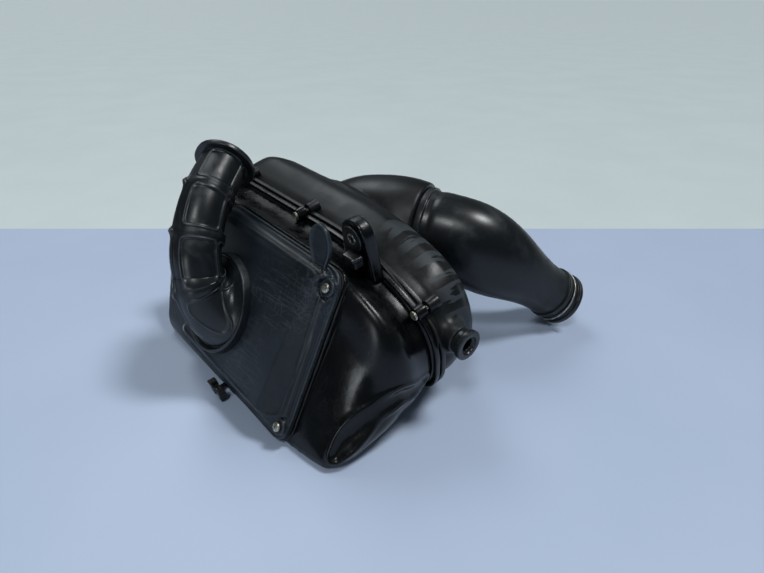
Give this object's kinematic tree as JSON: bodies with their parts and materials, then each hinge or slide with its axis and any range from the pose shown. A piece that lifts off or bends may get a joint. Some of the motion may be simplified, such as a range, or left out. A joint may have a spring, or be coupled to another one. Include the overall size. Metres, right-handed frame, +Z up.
{
  "type": "motorcycle airbox",
  "caption": "Two-part moulded air filter housing lying on its front, with a removable cover, ribbed rubber inlet elbow, pleated element and a large rubber outlet boot.",
  "frame": {"origin": "centre of the bounding box in plan, on the surface that the airbox lies on", "axes": "+Z up from that surface; +X along the seam between the two case halves towards the chamfered shoulder; +Y from the filter cover towards the outlet boot"},
  "size_m": [0.426, 0.4806, 0.2651],
  "materials": {
    "gloss_plastic": "worn gloss black moulding",
    "case_plastic": "matt black moulding, dusty",
    "clip_plastic": "smooth black",
    "cover_plastic": "satin black, scratched",
    "duct_rubber": "smooth black rubber",
    "seal_rubber": "soft matt",
    "zinc_screws": "zinc plated",
    "bare_steel": "plain",
    "filter_paper": "pleated filter paper",
    "element_frame": "matt"
  },
  "bodies": {
    "case": {"case_screw_1": "zinc_screws", "case_screw_2": "zinc_screws", "case_screw_3": "zinc_screws", "case_screw_4": "zinc_screws", "case_screw_5": "zinc_screws", "case_screw_6": "zinc_screws", "case_screw_7": "zinc_screws", "case_screw_8": "zinc_screws", "front_case": "gloss_plastic", "rear_case": "case_plastic", "case_seal": "seal_rubber", "ear_grommet": "duct_rubber", "ear_sleeve": "bare_steel", "peg_grommet": "duct_rubber", "outlet_boot": "duct_rubber", "boot_retainer": "case_plastic", "boot_wire_ring": "bare_steel", "hose_clip": "clip_plastic", "cable_clip": "clip_plastic"},
    "cover": {"filter_cover": "cover_plastic", "cover_seal": "seal_rubber", "cover_screw_1": "zinc_screws", "cover_screw_2": "zinc_screws", "cover_screw_3": "zinc_screws", "cover_screw_4": "zinc_screws", "inlet_elbow": "duct_rubber"},
    "element": {"filter_frame": "element_frame", "filter_media": "filter_paper", "filter_screen": "bare_steel"},
    "plug": {"drain_plug": "duct_rubber"}
  },
  "joints": [
    {"name": "cover_removal", "type": "slide", "parent": "case", "child": "cover", "axis": [0.0306, -0.8988, 0.4373], "range_m": [0, 0.12]},
    {"name": "element_removal", "type": "slide", "parent": "case", "child": "element", "axis": [0.0306, -0.8988, 0.4373], "range_m": [0, 0.06]},
    {"name": "plug_removal", "type": "slide", "parent": "case", "child": "plug", "axis": [-0.0696, 0.0689, -0.9952], "range_m": [0, 0.02]}
  ],
  "couplings": [
    {"joint": "element_removal", "follows": "cover_removal", "ratio": 0.5}
  ]
}
